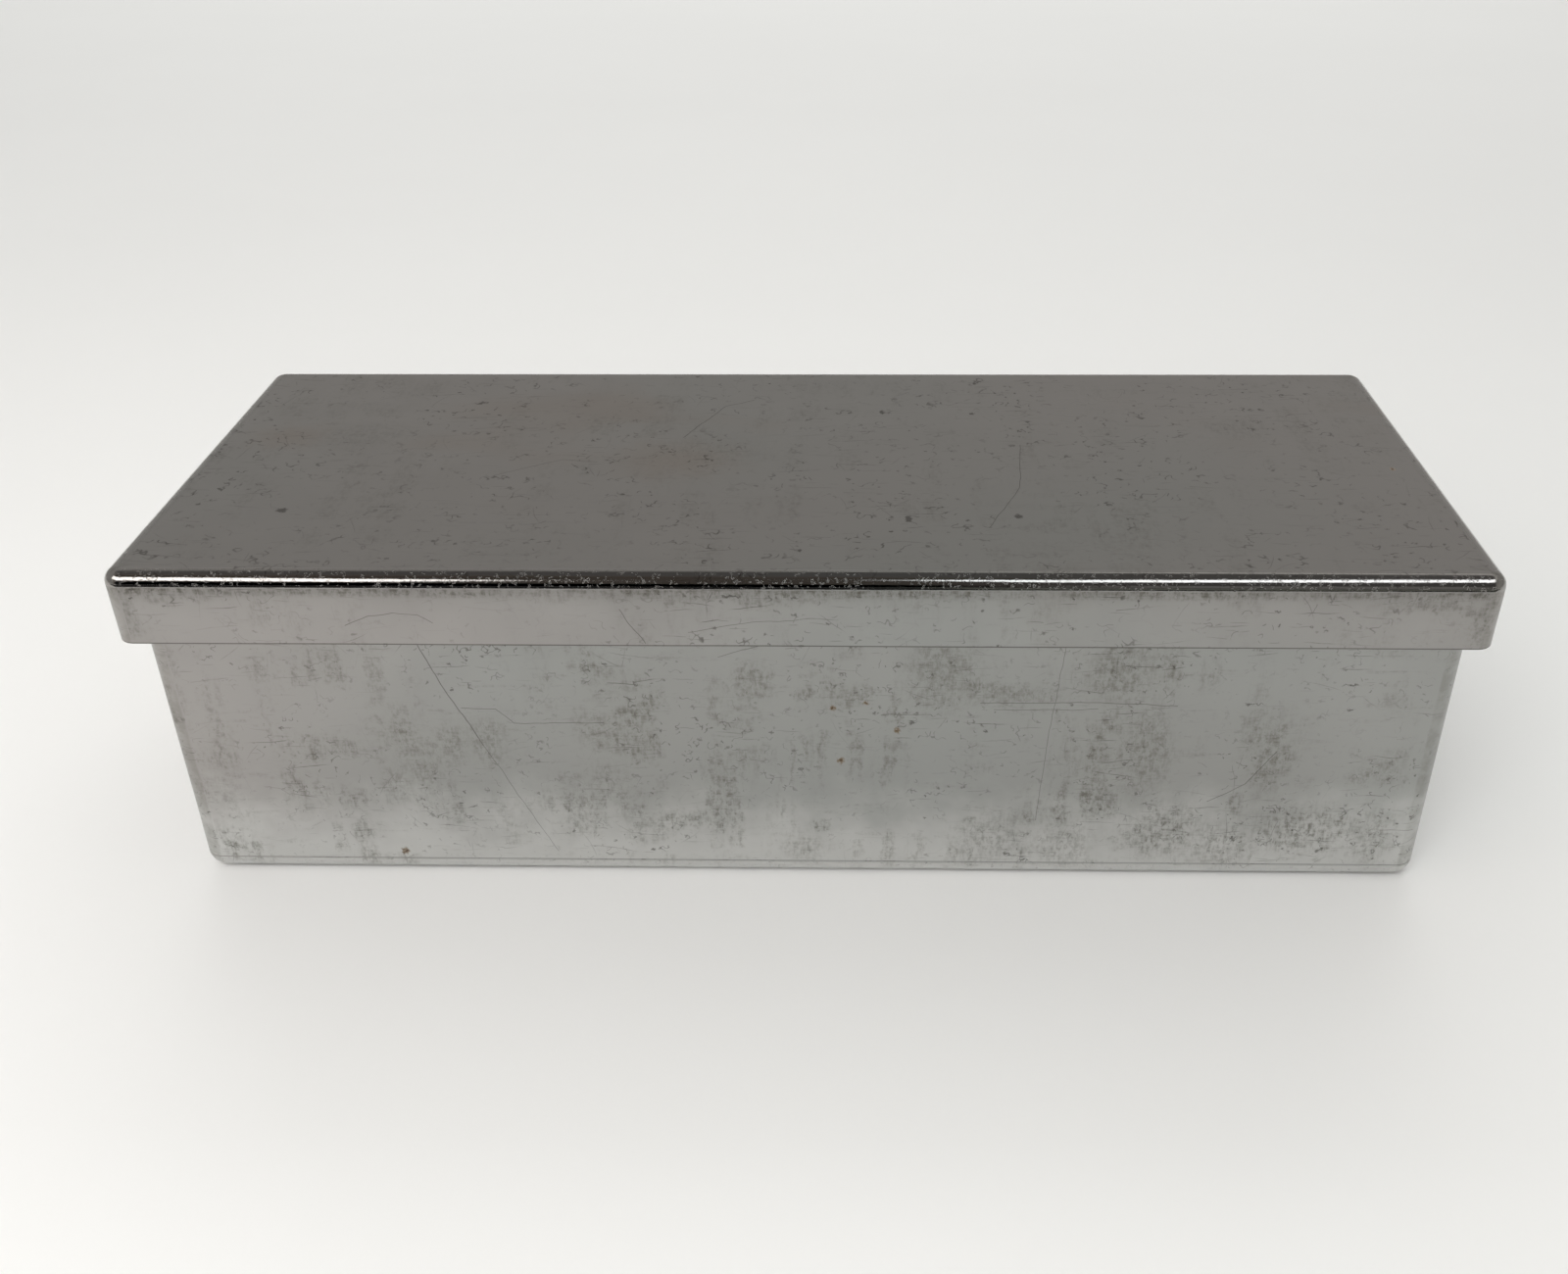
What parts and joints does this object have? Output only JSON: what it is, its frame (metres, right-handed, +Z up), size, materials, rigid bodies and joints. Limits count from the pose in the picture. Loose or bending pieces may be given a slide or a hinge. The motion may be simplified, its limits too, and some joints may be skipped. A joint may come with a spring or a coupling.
{
  "type": "lidded metal box",
  "caption": "Long rectangular sheet-metal box with a plain slip-on lid that lifts straight off; worn bright plating, for keeping small tools or instruments.",
  "frame": {"origin": "centre of the box's footprint, on the flat face that it stands on", "axes": "+X along the box's length, +Y across it towards the back, +Z up through the lid"},
  "size_m": [0.3, 0.113, 0.086],
  "materials": {
    "lid_metal": "bright plating, scratched and slightly dulled by use",
    "box_metal": "bright plating, stained in soft upright patches, with fine scratches and rust pits",
    "wire_steel": "plain drawn steel wire"
  },
  "bodies": {
    "box": {"body_wall": "box_metal", "rim_wire": "wire_steel", "bottom_pan": "box_metal"},
    "lid": {"lid": "lid_metal"}
  },
  "joints": [
    {"name": "lid_lift", "type": "slide", "parent": "box", "child": "lid", "axis": [0, 0, 1], "range_m": [0, 0.1]}
  ]
}
